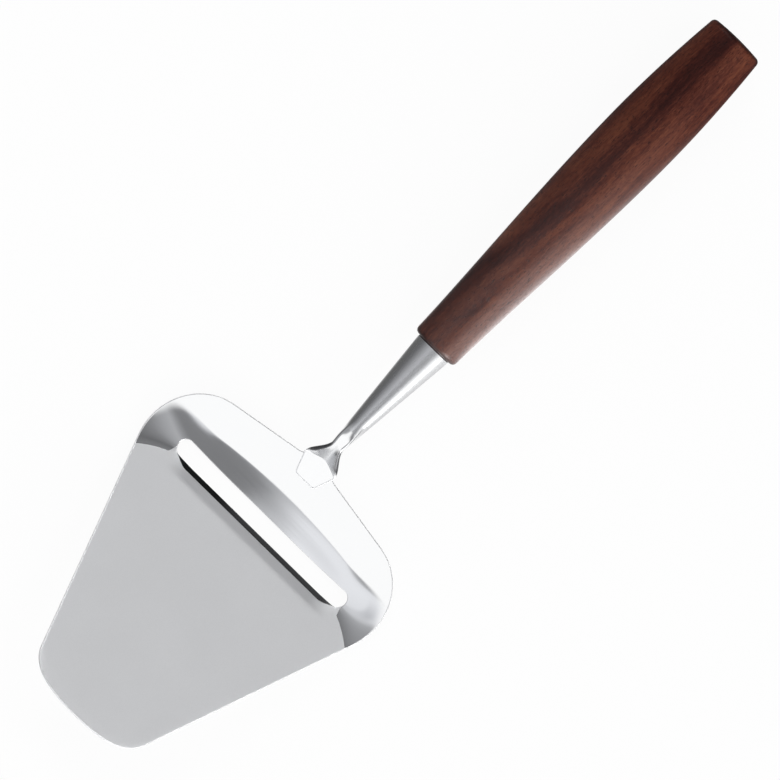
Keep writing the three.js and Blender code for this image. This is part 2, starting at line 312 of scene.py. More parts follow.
def mark(piece: bpy.types.Object, name: str, values: np.ndarray) -> None:
    """Stores a value at each point of a piece, for its material.

    Args:
        piece: the piece.
        name: name of the attribute.
        values: one value for each point.
    """
    attribute = piece.data.attributes.new(name, "FLOAT", "POINT")
    attribute.data.foreach_set("value", values.astype(np.float32).ravel())


@dataclass(frozen=True)
class Grain:
    """A noise texture: its scale along each axis, per millimetre, its octaves and their strength."""

    scale: Triple
    detail: float = 2.0
    rough: float = 0.5


class Graph:
    """Short calls that add nodes to one node tree."""

    def __init__(self, tree: bpy.types.NodeTree) -> None:
        """Takes the tree of a material or of the world, and empties it."""
        self.tree = tree
        tree.nodes.clear()

    def add(
        self, kind: str, inputs: Mapping[str | int, Any] | None = None, **settings: Any
    ) -> bpy.types.Node:
        """Adds a node, sets it up and links its inputs.

        Args:
            kind: Blender's name of the node type.
            inputs: values or sockets by input name or number.
            **settings: properties of the node.

        Returns:
            The node.
        """
        node = self.tree.nodes.new(kind)
        for key, value in settings.items():
            setattr(node, key, value)
        for key, value in (inputs or {}).items():
            if isinstance(value, Socket):
                self.tree.links.new(value, node.inputs[key])
            else:
                node.inputs[key].default_value = value
        return node

    def math(self, operation: str, *values: Any) -> Socket:
        """Result of a math node on one to three numbers or sockets."""
        return self.add("ShaderNodeMath", dict(enumerate(values)), operation=operation).outputs[0]

    def vector(self, operation: str, *values: Any) -> Socket:
        """Result of a vector math node on vectors or sockets."""
        node = self.add("ShaderNodeVectorMath", dict(enumerate(values)), operation=operation)
        return node.outputs["Value" if operation == "LENGTH" else "Vector"]

    def split(self, vector: Socket) -> Sequence[Socket]:
        """The X, Y and Z of a vector."""
        return self.add("ShaderNodeSeparateXYZ", {0: vector}).outputs

    def join(self, *parts: Any) -> Socket:
        """A vector from its X, Y and Z."""
        return self.add("ShaderNodeCombineXYZ", dict(enumerate(parts))).outputs[0]

    def attribute(self, name: str) -> Socket:
        """The value that a piece stores at each of its points under a name."""
        return self.add("ShaderNodeAttribute", attribute_name=name).outputs["Fac"]

    def span(self, value: Any, low: float, high: float, start: float = 0.0, end: float = 1.0) -> Socket:
        """A number stepped softly from start at low to end at high.

        Args:
            value: the number or socket.
            low: where the step starts.
            high: where the step ends.
            start: result at and before low.
            end: result at and after high.

        Returns:
            The result's socket.
        """
        inputs = {"Value": value, "From Min": low, "From Max": high, "To Min": start, "To Max": end}
        return self.add("ShaderNodeMapRange", inputs, interpolation_type="SMOOTHSTEP").outputs[0]

    def between(self, share: Socket, low: float, high: float) -> Socket:
        """Straight blend of two numbers: low at share 0, high at share 1."""
        return self.math("MULTIPLY_ADD", share, high - low, low)

    def mix(self, share: Any, first: Any, second: Any) -> Socket:
        """Blend of two colours, each a socket or three parts, by a share from 0 to 1."""
        colours = [part if isinstance(part, Socket) else (*part, 1.0) for part in (first, second)]
        inputs = {0: share, 6: colours[0], 7: colours[1]}
        return self.add("ShaderNodeMix", inputs, data_type="RGBA").outputs[2]

    def ramp(self, share: Socket, stops: Sequence[tuple[float, Sequence[float]]]) -> Socket:
        """A colour ramp.

        Args:
            share: place on the ramp, from 0 to 1.
            stops: places and colours of the ramp's stops.

        Returns:
            The colour's socket.
        """
        node = self.add("ShaderNodeValToRGB", {0: share})
        elements = node.color_ramp.elements
        while len(elements) < len(stops):
            elements.new(1.0)
        for element, (position, colour) in zip(elements, stops):
            element.position = position
            element.color = (*colour, 1.0)
        return node.outputs[0]

    def grain(self, place: Socket, grain: Grain) -> Socket:
        """Value of a noise texture at a place, from 0 to 1 around one half."""
        stretched = self.vector("MULTIPLY", place, grain.scale)
        inputs = {"Vector": stretched, "Scale": 1.0, "Detail": grain.detail, "Roughness": grain.rough}
        return self.add("ShaderNodeTexNoise", inputs).outputs[0]

    def place(self, local: LocalFrame) -> Socket:
        """Object coordinates as millimetres in a local frame.

        Args:
            local: the frame to measure in.

        Returns:
            The socket of the place.
        """
        inputs = {
            "Vector": self.add("ShaderNodeTexCoord").outputs["Object"],
            "Location": tuple(local.origin),
            "Rotation": (0.0, -local.pitch, 0.0),
            "Scale": (MM, MM, MM),
        }
        return self.add("ShaderNodeMapping", inputs, vector_type="TEXTURE").outputs[0]

    def bump(self, height: Socket, depth: float, normal: Socket | None = None) -> Socket:
        """Normal bent by a height from 0 to 1, for a depth in millimetres."""
        inputs = {"Height": height, "Distance": depth * MM, "Strength": 1.0}
        if normal is not None:
            inputs["Normal"] = normal
        return self.add("ShaderNodeBump", inputs).outputs[0]

    def glow(self, level: Any) -> Socket:
        """White light of a level, given off by a surface."""
        return self.add("ShaderNodeEmission", {"Color": WHITE, "Strength": level}).outputs[0]

    def cover(self, share: Socket, under: Socket, over: Socket) -> Socket:
        """Blend of two shaders: the one under at share 0, the one over at share 1."""
        return self.add("ShaderNodeMixShader", {0: share, 1: under, 2: over}).outputs[0]

    def surface(self, inputs: Mapping[str, Any]) -> None:
        """Ends the tree in a principled shader with these inputs."""
        shader = self.add("ShaderNodeBsdfPrincipled", inputs)
        self.add("ShaderNodeOutputMaterial", {"Surface": shader.outputs[0]})


def new_material(name: str) -> tuple[bpy.types.Material, Graph]:
    """A new material and the graph of its nodes.

    Args:
        name: the material's name.

    Returns:
        The material and its graph.
    """
    material = bpy.data.materials.new(name)
    material.use_nodes = True
    return material, Graph(material.node_tree)


@dataclass(frozen=True)
class GrainedFinish:
    """A finish with one grain, which sets its tone, its roughness and its height together."""

    name: str
    colour: Triple
    dark: float
    roughness: Pair
    metallic: float
    grain: Grain
    depth: float

    def material(self, local: LocalFrame) -> bpy.types.Material:
        """The finish, with its grain measured in a frame.

        Args:
            local: the frame that the grain lies along.

        Returns:
            The material.
        """
        material, graph = new_material(self.name)
        grain = graph.grain(graph.place(local), self.grain)
        inputs = {
            "Base Color": graph.mix(grain, scaled(self.colour, self.dark), self.colour),
            "Metallic": self.metallic,
            "Roughness": graph.between(grain, *self.roughness),
            "Normal": graph.bump(grain, self.depth),
        }
        graph.surface(inputs)
        return material


GRINDING = Grain((0.6, 14.0, 0.6), 2.0, 0.6)
COOLING = Grain((4.2, 4.2, 4.2), 3.0, 0.6)
CLOUDS = Grain((0.7, 0.7, 0.7))
# The ground bevel's near-black colour is painted: it stands for a dark reflection of the shaded gap under
# the slot, not for the steel's own tone.
GROUND_STEEL_PAINTED_DARK = GrainedFinish("ground_steel_painted_dark", (0.045, 0.045, 0.048), 0.7, (0.2, 0.4), 1.0, GRINDING, 0.004)
SHEARED_STEEL = GrainedFinish("sheared_steel", (0.9, 0.9, 0.905), 0.7, (0.4, 0.6), 0.0, GRINDING, 0.004)
WELD_STEEL = GrainedFinish("weld_steel", (0.42, 0.42, 0.43), 0.6, (0.45, 0.65), 1.0, COOLING, 0.02)
CURED_GLUE = GrainedFinish("cured_glue", (0.775, 0.5625, 0.25), 0.8, (0.3, 0.5), 0.0, CLOUDS, 0.05)


@dataclass(frozen=True)
class SheetSteel:
    """Blade steel: satin in front of the crease, mirror-polished behind it."""

    satin: Triple = (0.74, 0.745, 0.755)
    polished: Triple = (0.86, 0.865, 0.87)
    satin_roughness: Pair = (0.33, 0.43)
    polished_roughness: Pair = (0.04, 0.10)
    boundary: Pair = (-0.12, 0.12)
    speckle: Grain = Grain((3.0, 6.0, 6.0), 3.0, 0.6)
    speckle_tone: Pair = (0.95, 1.05)
    speckle_depth: float = 0.0035
    cloud: Grain = Grain((0.05, 0.05, 0.05))
    cloud_tone: Pair = (0.97, 1.03)
    lines: Grain = Grain((2.2, 0.06, 2.2))
    line_depth: float = 0.0012

    def material(self, plate: LocalFrame) -> bpy.types.Material:
        """Steel whose polish starts where the sheet's crease attribute turns positive.

        Args:
            plate: frame of the flat plate, for the direction of the grain.

        Returns:
            The material.
        """
        material, graph = new_material("sheet_steel")
        polish = graph.span(graph.attribute("crease"), *self.boundary)
        place = graph.place(plate)
        speckle = graph.grain(place, self.speckle)
        cloud = graph.between(graph.grain(place, self.cloud), *self.cloud_tone)
        lines = graph.grain(place, self.lines)
        shade = graph.math("MULTIPLY", graph.between(speckle, *self.speckle_tone), cloud)
        satin = graph.vector("MULTIPLY", self.satin, shade)
        satin_rough = graph.between(speckle, *self.satin_roughness)
        polished_rough = graph.between(lines, *self.polished_roughness)
        smoother = graph.math("SUBTRACT", polished_rough, satin_rough)
        unpolished = graph.math("SUBTRACT", 1.0, polish)
        grain = graph.bump(graph.math("MULTIPLY", speckle, unpolished), self.speckle_depth)
        inputs = {
            "Base Color": graph.mix(polish, satin, self.polished),
            "Metallic": 1.0,
            "Roughness": graph.math("MULTIPLY_ADD", polish, smoother, satin_rough),
            "Normal": graph.bump(graph.math("MULTIPLY", lines, polish), self.line_depth, grain),
        }
        graph.surface(inputs)
        return material


@dataclass(frozen=True)
class PolishedSteel:
    """Forged steel of the stem: polished lengthwise, so that it smears reflections across, with a bright
    foot, dull edges round the foot, and dull flanks beside the web that are painted dark as shade."""

    colour: Triple = (0.69, 0.695, 0.705)
    worn: float = 0.93
    wear: Grain = Grain((0.1, 0.4, 0.4))
    roughness: float = 0.26
    lines: Grain = Grain((0.12, 5.0, 5.0), 3.0, 0.6)
    line_roughness: Pair = (-0.04, 0.04)
    line_depth: float = 0.0012
    smear: float = 0.8
    smear_turn: float = 0.25
    buffed: Pair = (15.0, 21.0)
    foot_colour: Triple = (0.9, 0.905, 0.91)
    foot_roughness: float = 0.12
    edge: Triple = (0.95, 0.95, 0.955)
    edge_end: Pair = (5.6, 7.0)
    edge_lean: Pair = (0.90, 0.99)
    edge_roughness: float = 0.4
    # Dark colour of the web's flanks: painted shade.
    flank_shade: Triple = (0.14, 0.14, 0.145)
    flank_roughness: float = 0.35

    def material(self, grip: LocalFrame) -> bpy.types.Material:
        """Bright steel with faint polishing lines along the stem, and its foot, edges and flanks, the
        flanks painted dark as shade.

        Args:
            grip: frame of the stem.

        Returns:
            The material.
        """
        material, graph = new_material("stem_steel")
        place = graph.place(grip)
        along = graph.split(place)[0]
        buffed = graph.span(along, *self.buffed)
        lines = graph.grain(place, self.lines)
        colour = graph.mix(graph.grain(place, self.wear), scaled(self.colour, self.worn), self.colour)
        colour = graph.mix(buffed, self.foot_colour, colour)
        rough = graph.between(buffed, self.foot_roughness, self.roughness)
        rough = graph.math("ADD", rough, graph.between(lines, *self.line_roughness))
        flank_shade = graph.attribute("flank_shade")
        up = graph.split(graph.add("ShaderNodeNewGeometry").outputs["Normal"])[2]
        leaning = graph.span(up, *self.edge_lean, 1.0, 0.0)
        edge = graph.math("MULTIPLY", leaning, graph.span(along, *self.edge_end, 1.0, 0.0))
        # The flanks' dark colour is painted shade; the edges are dull white steel.
        dull = ((flank_shade, self.flank_shade, self.flank_roughness), (edge, self.edge, self.edge_roughness))
        for share, tone, rougher in dull:
            colour = graph.mix(share, colour, tone)
            rough = graph.math("MULTIPLY_ADD", share, rougher, rough)
        inputs = {
            "Base Color": colour,
            "Metallic": graph.math("SUBTRACT", 1.0, edge),
            "Roughness": rough,
            "Normal": graph.bump(lines, self.line_depth),
            "Anisotropic": graph.math("MULTIPLY", buffed, self.smear),
            "Anisotropic Rotation": self.smear_turn,
            "Tangent": graph.join(*map(float, grip.axes[0])),
        }
        graph.surface(inputs)
        return material


@dataclass(frozen=True)
class Rosewood:
    """Oiled dark hardwood: reddish brown, with a dark streak, long layers and fine open pores. Its tones
    run from the deepest to the lightest layer."""

    tones: tuple[tuple[float, Triple], ...] = (
        (0.22, (0.028, 0.0058, 0.0045)),
        (0.42, (0.050, 0.0110, 0.0075)),
        (0.60, (0.090, 0.0235, 0.0135)),
        (0.86, (0.150, 0.0460, 0.0235)),
    )
    streak_start: float = 8.0
    streak_drift: float = 0.06
    streak_turn: float = 58.0
    streak_lean: float = 0.3
    streak_half: float = 2.2
    streak_shade: float = 0.2
    sway: Grain = Grain((0.03, 0.05, 0.05))
    sway_reach: float = 2.5
    bands: Grain = Grain((0.012, 0.34, 0.10), 3.0, 0.55)
    band_tone: Pair = (-0.605, 0.295)
    patch: Grain = Grain((0.06, 0.3, 0.25), 3.0, 0.6)
    patch_tone: float = 0.55
    fleck: Grain = Grain((0.6, 1.9, 1.9), 2.0, 0.6)
    fleck_tone: float = 0.45
    fibre: Grain = Grain((0.16, 2.4, 2.4), 3.0, 0.65)
    fibre_tone: float = 0.4
    fibre_height: float = 0.4
    pore: Triple = (0.016, 0.0040, 0.0035)
    pores: Grain = Grain((0.9, 4.4, 4.4), 1.0)
    pore_edge: Pair = (0.60, 0.70)
    pore_share: float = 0.8
    pore_depth: float = 0.03
    pore_roughness: float = 0.2
    roughness: Pair = (0.31, 0.45)
    specular: Pair = (0.62, 0.10)
    specular_end: float = 95.0
    end_grain_and_shade: Pair = (0.2, 1.4)
    end_shade_share: float = 0.75

    def layers(self, graph: Graph, place: Socket) -> Socket:
        """Distance from the dark streak's layer, which drifts across the handle and leans into it.

        Args:
            graph: the material's graph.
            place: place along, across and above the handle's axis.

        Returns:
            The distance's socket.
        """
        x, y, z = graph.split(place)
        sway = graph.between(graph.grain(place, self.sway), -self.sway_reach, self.sway_reach)
        drift = graph.math("MULTIPLY", graph.math("MINIMUM", x, self.streak_turn), self.streak_drift)
        layer = graph.math("SUBTRACT", graph.math("ADD", y, drift), self.streak_start)
        return graph.math("ADD", graph.math("MULTIPLY_ADD", z, self.streak_lean, layer), sway)

    def material(self, grip: LocalFrame, front: Sequence[float], length: float) -> bpy.types.Material:
        """Wood whose tone follows its layers, broken up by fibres, patches and pores, with darker end grain
        and painted shade at both ends.

        Args:
            grip: frame of the grip.
            front: middle of the handle's front in that frame.
            length: length of the handle.

        Returns:
            The material.
        """
        material, graph = new_material("oiled_rosewood")
        place = graph.vector("SUBTRACT", graph.place(grip), tuple(front))
        x, _, z = graph.split(place)
        layer = self.layers(graph, place)
        layered = graph.join(x, layer, z)
        fibre = graph.grain(place, self.fibre)
        pores = graph.span(graph.grain(place, self.pores), *self.pore_edge)
        streak = graph.span(graph.math("ABSOLUTE", layer), 0.0, self.streak_half, self.streak_shade, 0.0)
        tone = graph.between(graph.grain(layered, self.bands), *self.band_tone)
        tone = graph.math("SUBTRACT", tone, streak)
        tone = graph.math("MULTIPLY_ADD", graph.grain(layered, self.patch), self.patch_tone, tone)
        tone = graph.math("MULTIPLY_ADD", graph.grain(place, self.fleck), self.fleck_tone, tone)
        tone = graph.math("MULTIPLY_ADD", fibre, self.fibre_tone, tone)
        colour = graph.ramp(tone, self.tones)
        colour = graph.mix(graph.math("MULTIPLY", pores, self.pore_share), colour, self.pore)
        # Both ends are darkened: partly the end grain's own tone, partly painted shade on the front rim and
        # the butt's corner.
        start, end = self.end_grain_and_shade
        face = graph.span(x, start, end, self.end_shade_share, 0.0)
        butt = graph.span(x, length - end, length - start, 0.0, self.end_shade_share)
        height = graph.math("SUBTRACT", graph.math("MULTIPLY", fibre, self.fibre_height), pores)
        rough = graph.between(fibre, *self.roughness)
        inputs = {
            "Base Color": graph.mix(graph.math("ADD", face, butt), colour, self.pore),
            "Roughness": graph.math("MULTIPLY_ADD", pores, self.pore_roughness, rough),
            "Specular IOR Level": graph.span(x, 0.0, self.specular_end, *self.specular),
            "Normal": graph.bump(height, self.pore_depth),
        }
        graph.surface(inputs)
        return material


@dataclass
class Blade:
    """The pressed sheet: a flat plate, a cutting slot with a ground lip, a ramp and a polished tail."""

    tip_start: float = 0.15
    tip_half_width: float = 15.7
    tip_edge_reach: float = 12.5
    tip_corner_length: float = 7.5
    tip_corner_reach: float = 4.6
    side_flare: float = 19.1
    shoulder_radius: float = 15.5
    rear_edge_x: float = 90.3
    rear_edge_lean: float = 8.9
    root_fillet: float = 2.0
    tongue_half_width: float = 4.4
    tongue_length: float = 9.0
    tongue_corner_radius: float = 2.0
    foot_front_x: float = 84.9
    sheet_thickness: float = 1.2
    crank_angle: float = 20.0
    crease_x: float = 70.7
    crease_sweep: float = 10.0
    crease_power: int = 4
    ramp_end_x: float = 79.5
    ramp_sweep: float = 4.0
    ramp_turn: float = 2.2
    ramp_turn_start: float = 0.56
    ramp_rise: float = 5.3
    cutting_edge_x: float = 68.8
    slot_width: float = 4.4
    slot_length: float = 58.8
    polish_blend: float = 0.6
    lip_length: float = 5.4
    lip_bend: float = 1.4
    lip_angle: float = 7.0
    lip_fade: float = 8.0
    bevel_angle: float = 29.0
    bevel_run_out: float = 6.0
    edge_land: float = 0.15
    rim_round: float = 0.2
    slot_round: float = 0.18
    keen_round: float = 0.01
    keen_from: float = 0.3
    sole_from_tip: float = 34.0
    outline_points: int = 216
    arc_steps: int = 24
    top_rows: int = 66
    under_rows: int = 40
    rim_rows: int = 5
    wall_rows: int = 4
    near_share: float = 0.14
    near_power: float = 2.5
    slope_step: float = 0.01
    sharp_angle: float = 26.0
    finish: SheetSteel = SheetSteel()
    # Finish of the slot's wall and bevel, whose near-black colour is a painted dark reflection.
    ground: GrainedFinish = GROUND_STEEL_PAINTED_DARK
    sheared: GrainedFinish = SHEARED_STEEL

    @property
    def half(self) -> float:
        """Half the thickness of the sheet."""
        return self.sheet_thickness / 2

    @property
    def crank(self) -> float:
        """Angle between the plate and the tail, in radians."""
        return math.radians(self.crank_angle)

    @cached_property
    def half_width(self) -> float:
        """Half the width of the blade at its widest."""
        return float(self.half_outline()[:, 1].max())

    def plate_frame(self, record: Mapping[str, Any]) -> LocalFrame:
        """Frame of the plate, from the flat face that the record states under it.

        Args:
            record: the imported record.

        Returns:
            The frame, with its origin at the tip.
        """
        sole = next(mount for mount in record["mounts"] if mount["name"] == "sole")
        up = -unit(np.asarray(sole["axis"], float))
        across = np.array([0.0, 1.0, 0.0])
        along = np.cross(across, up)
        inset = MM * (self.sole_from_tip * along - self.half * up)
        return LocalFrame(np.asarray(sole["pos_m"], float) - inset, np.array([along, across, up]))

    def half_outline(self) -> np.ndarray:
        """One side of the outline: a soft-cornered tip, a straight flare, a round shoulder, a leaning
        rear edge and half of the tongue.

        Returns:
            Evenly spaced points from the middle of the tip to the middle of the tongue's end.
        """
        flare = math.radians(self.side_flare)
        lean = math.tan(math.radians(self.rear_edge_lean))
        side = np.array([math.cos(flare), math.sin(flare)])
        corner_y = self.tip_half_width + self.tip_corner_length * math.tan(flare)
        corner = np.array([self.tip_corner_length, corner_y])
        handle = corner - self.tip_corner_reach * side
        edge = [(self.tip_start, 0.0), (self.tip_start, self.tip_edge_reach)]
        tip = curve([*edge, handle, corner], self.arc_steps)
        widest = self.tip_half_width + self.rear_edge_x * math.tan(flare)
        shoulder_y = widest / (1 + math.tan(flare) * lean)
        shoulder = np.array([self.rear_edge_x - shoulder_y * lean, shoulder_y])
        root = np.array([self.rear_edge_x - self.tongue_half_width * lean, self.tongue_half_width])
        end_x = self.foot_front_x + self.tongue_length * math.cos(self.crank)
        tongue = np.array([end_x, self.tongue_half_width])
        end = np.array([end_x, 0.0])
        arcs = [
            round_corner(corner, shoulder, root, self.shoulder_radius, self.arc_steps),
            round_corner(shoulder, root, tongue, self.root_fillet, self.arc_steps),
            round_corner(root, tongue, end, self.tongue_corner_radius, self.arc_steps),
        ]
        return evenly(np.concatenate([tip, *arcs, end[None]]), self.outline_points)

    def rims(self) -> tuple[np.ndarray, ...]:
        """Matching points all round the outline and the slot. A point of the outline is led to the slot
        along X, or towards the centre of the slot's round end where it lies beyond it.

        Returns:
            Outline points, their outward directions, slot points and their directions into the sheet.
        """
        outer = self.half_outline()
        radius = self.slot_width / 2
        reach = self.slot_length / 2 - radius
        middle = self.cutting_edge_x + radius
        spine = np.minimum(outer[:, 1], reach)
        widest = int(np.argmax(outer[:, 1]))
        rear = widest + int(np.argmax(outer[widest:, 1] < reach))
        spine[rear:] = np.linspace(reach, 0.0, len(spine) - rear + 1)[1:]
        centre = np.stack([np.full_like(spine, middle), spine], axis=-1)
        away = unit(outer - centre)
        away[rear:] = (1.0, 0.0)
        slot = centre + radius * away
        tangent = np.gradient(outer, axis=0)
        tangent[[0, -1]] = (0.0, 1.0), (0.0, -1.0)
        outward = unit(np.stack([-tangent[:, 1], tangent[:, 0]], axis=-1))
        sides = (outer, outward, slot, away)
        return tuple(np.concatenate([side, side[-2:0:-1] * (1.0, -1.0)]) for side in sides)

    def crease_line(self, y: np.ndarray) -> np.ndarray:
        """Where the plate ends and the ramp starts: the crease sweeps forward by a power of the width."""
        return self.crease_x - self.crease_sweep * (np.abs(y) / self.half_width) ** self.crease_power

    def polish_line(self, y: np.ndarray) -> np.ndarray:
        """Where the polish starts: at the crease, and at the slot's middle along the slot."""
        middle = self.cutting_edge_x + self.slot_width / 2
        along = smoothstep(self.slot_length / 2 - np.abs(y), -self.polish_blend, self.polish_blend)
        return lerp(self.crease_line(y), middle, along)

    def lip_drop(self, x: np.ndarray, y: np.ndarray) -> np.ndarray:
        """How far the cutting lip is bent down: a soft hinge, then a slope, faded out along the slot.

        Args:
            x: distances from the tip.
            y: distances from the middle.

        Returns:
            The drops.
        """
        past = x - (self.cutting_edge_x - self.lip_length)
        hinge = np.maximum(past, 0.0) ** 2 / (2 * self.lip_bend)
        slope = np.where(past < self.lip_bend, hinge, past - self.lip_bend / 2)
        before = 1 - smoothstep(x, self.cutting_edge_x, self.cutting_edge_x + self.slot_width)
        inside = 1 - smoothstep(np.abs(y), self.slot_length / 2 - self.lip_fade, self.slot_length / 2)
        return slope * math.tan(math.radians(self.lip_angle)) * before * inside

    def tail_height(self, x: Any) -> Any:
        """Height of the tail above the plane of the plate."""
        return self.ramp_rise + (x - self.ramp_end_x) * math.tan(self.crank)

    def sheet_height(self, x: np.ndarray, y: np.ndarray) -> np.ndarray:
        """Height of the middle of the sheet: level on the plate, a cubic up the ramp, straight on the tail.

        Args:
            x: distances from the tip.
            y: distances from the middle.

        Returns:
            The heights above the plane of the plate.
        """
        crease = self.crease_line(y)
        across = np.abs(y) / self.half_width
        later = self.ramp_turn * smoothstep(across, self.ramp_turn_start, 1.0)
        end = self.ramp_end_x - self.ramp_sweep * across**2 + later
        u = np.maximum(x - crease, 0.0) / (end - crease)
        rise = self.tail_height(end) * u * u * (3 - 2 * u)
        tilt = (end - crease) * math.tan(self.crank) * u * u * (u - 1)
        return np.where(x >= end, self.tail_height(x), rise + tilt - self.lip_drop(x, y))

    def sheet_points(self, plan: np.ndarray, raised: np.ndarray) -> np.ndarray:
        """Points of the pressed sheet over a plan, raised square to the middle of the sheet.

        Args:
            plan: X and Y of each point.
            raised: distance from the middle of the sheet.

        Returns:
            The points, in millimetres.
        """
        step = self.slope_step
        x, y = plan[..., 0], plan[..., 1]
        slope_x = (self.sheet_height(x + step, y) - self.sheet_height(x - step, y)) / (2 * step)
        slope_y = (self.sheet_height(x, y + step) - self.sheet_height(x, y - step)) / (2 * step)
        normal = unit(np.stack([-slope_x, -slope_y, np.ones_like(x)], axis=-1))
        return np.stack([x, y, self.sheet_height(x, y)], axis=-1) + raised[..., None] * normal

    def spread(self, rows: int, ahead: np.ndarray) -> np.ndarray:
        """Shares of the way from the slot to the outline: even behind the slot, and closer together near
        the slot where the outline lies ahead of it, by a straight part plus a power of the even share.

        Args:
            rows: number of steps on the way.
            ahead: how far ahead of the slot each place is, from 0 to 1.

        Returns:
            Shares by row and place, without both ends.
        """
        t = np.linspace(0.0, 1.0, rows + 1)[1:-1, None]
        fine = self.near_share * t + (1 - self.near_share) * t**self.near_power
        return lerp(t + 0 * ahead, fine, ahead)

    def sections(self) -> tuple[np.ndarray, np.ndarray, np.ndarray]:
        """Closed sections from the slot to the outline and back under the sheet, carried all the way round.
        A section has the slot's wall or its bevel, the top, the round rim and the underside.

        Returns:
            Plan points and raised distances by row and place, and the finish of each row of faces.
        """
        outer, outward, slot, away = self.rims()
        half, rim = self.half, self.rim_round
        front = np.clip(-away[:, 0], 0.0, 1.0) ** 2
        inside = smoothstep(self.slot_length / 2 - np.abs(slot[:, 1]), 0.0, self.bevel_run_out)
        ground = front * inside
        bevel = ground * (self.sheet_thickness - self.edge_land) / math.tan(math.radians(self.bevel_angle))
        edge = lerp(self.slot_round, self.keen_round, smoothstep(ground, 0.0, self.keen_from))
        turn = quarter(self.rim_rows)[:, None]
        under_in = edge * (1 - np.sin(turn))
        under_up = edge * (1 - np.cos(turn)) - half
        share = np.linspace(0.0, 1.0, self.wall_rows)[:, None]
        wall_in = bevel * share
        wall_up = lerp(self.edge_land - half + 0 * bevel, half - edge, share)
        over_in = bevel + edge * (1 - np.cos(turn[1:]))
        over_up = half - edge + edge * np.sin(turn[1:])
        chain_in = np.concatenate([under_in, wall_in, over_in])
        chain_up = np.concatenate([under_up, wall_up, over_up])
        chain = slot + chain_in[..., None] * away
        rim_in = rim * (1 - np.sin(turn))
        rim_up = half - rim * (1 - np.cos(turn))
        rim_down = np.concatenate([rim_up, -rim_up[::-1]]) + 0 * bevel
        rim_plan = outer - np.concatenate([rim_in, rim_in[::-1]])[..., None] * outward
        ahead = smoothstep(self.cutting_edge_x - outer[:, 0], 0.0, self.cutting_edge_x / 2)
        top = lerp(chain[-1], rim_plan[0], self.spread(self.top_rows, ahead)[..., None])
        back = 1 - self.spread(self.under_rows, ahead)[::-1]
        under = lerp(rim_plan[-1], chain[0], back[..., None])
        plan = np.concatenate([chain, top, rim_plan, under])
        flat_top = np.full(top.shape[:2], half)
        flat_under = np.full(under.shape[:2], -half)
        raised = np.concatenate([chain_up, flat_top, rim_down, flat_under])
        finish = np.full(len(raised), Finish.SHEET)
        finish[self.rim_rows : len(chain) - self.rim_rows] = Finish.GROUND
        first = len(chain) + len(top)
        finish[first + 1 : first + len(rim_plan) - 2] = Finish.SHEARED
        return plan, raised, finish

    def build(self, plate: LocalFrame) -> bpy.types.Object:
        """Makes the sheet and dresses it.

        Args:
            plate: frame of the flat plate.

        Returns:
            The piece.
        """
        plan, raised, finish = self.sections()
        points = self.sheet_points(plan, raised)
        rows, columns = raised.shape
        skin = Skin(plate.to_row(points).reshape(-1, 3), Skin.grid(rows, columns, True))
        piece = skin.piece("blade_sheet", self.sharp_angle)
        mark(piece, "crease", plan[..., 0] - self.polish_line(plan[..., 1]))
        for steel in (self.finish, self.ground, self.sheared):
            piece.data.materials.append(steel.material(plate))
        piece.data.polygons.foreach_set("material_index", np.repeat(finish, columns).astype(np.int32))
        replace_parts(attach(piece, BODY), "blade")
        return piece


